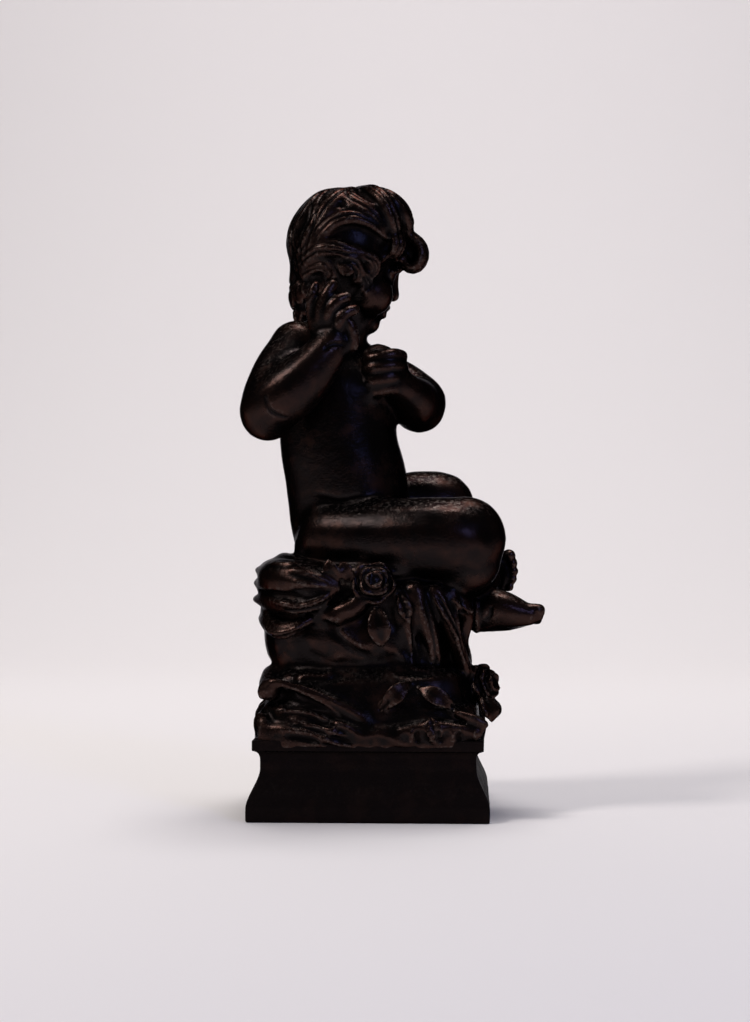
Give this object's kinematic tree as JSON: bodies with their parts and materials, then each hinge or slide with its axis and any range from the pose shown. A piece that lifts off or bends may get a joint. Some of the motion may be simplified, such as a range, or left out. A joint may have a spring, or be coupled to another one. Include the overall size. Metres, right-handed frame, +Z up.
{
  "type": "spelter child statuette",
  "caption": "Cast statuette of a seated child, one hand at the ear, on a draped rock with roses, over a square plinth with a hollow moulding.",
  "frame": {"origin": "middle of the plinth's underside", "axes": "+Z up, +X the way the child looks, -Y the child's right side, which the picture shows"},
  "size_m": [0.1331, 0.1078, 0.2799],
  "materials": {
    "bronzed_spelter": "dark bronzed patina, soft gloss, rubbed reddish brown on the high places",
    "bronzed_spelter_plinth": "dark bronzed patina, soft gloss, fine cast grain"
  },
  "bodies": {
    "root": {"child_group": "bronzed_spelter", "plinth": "bronzed_spelter_plinth"}
  },
  "joints": []
}
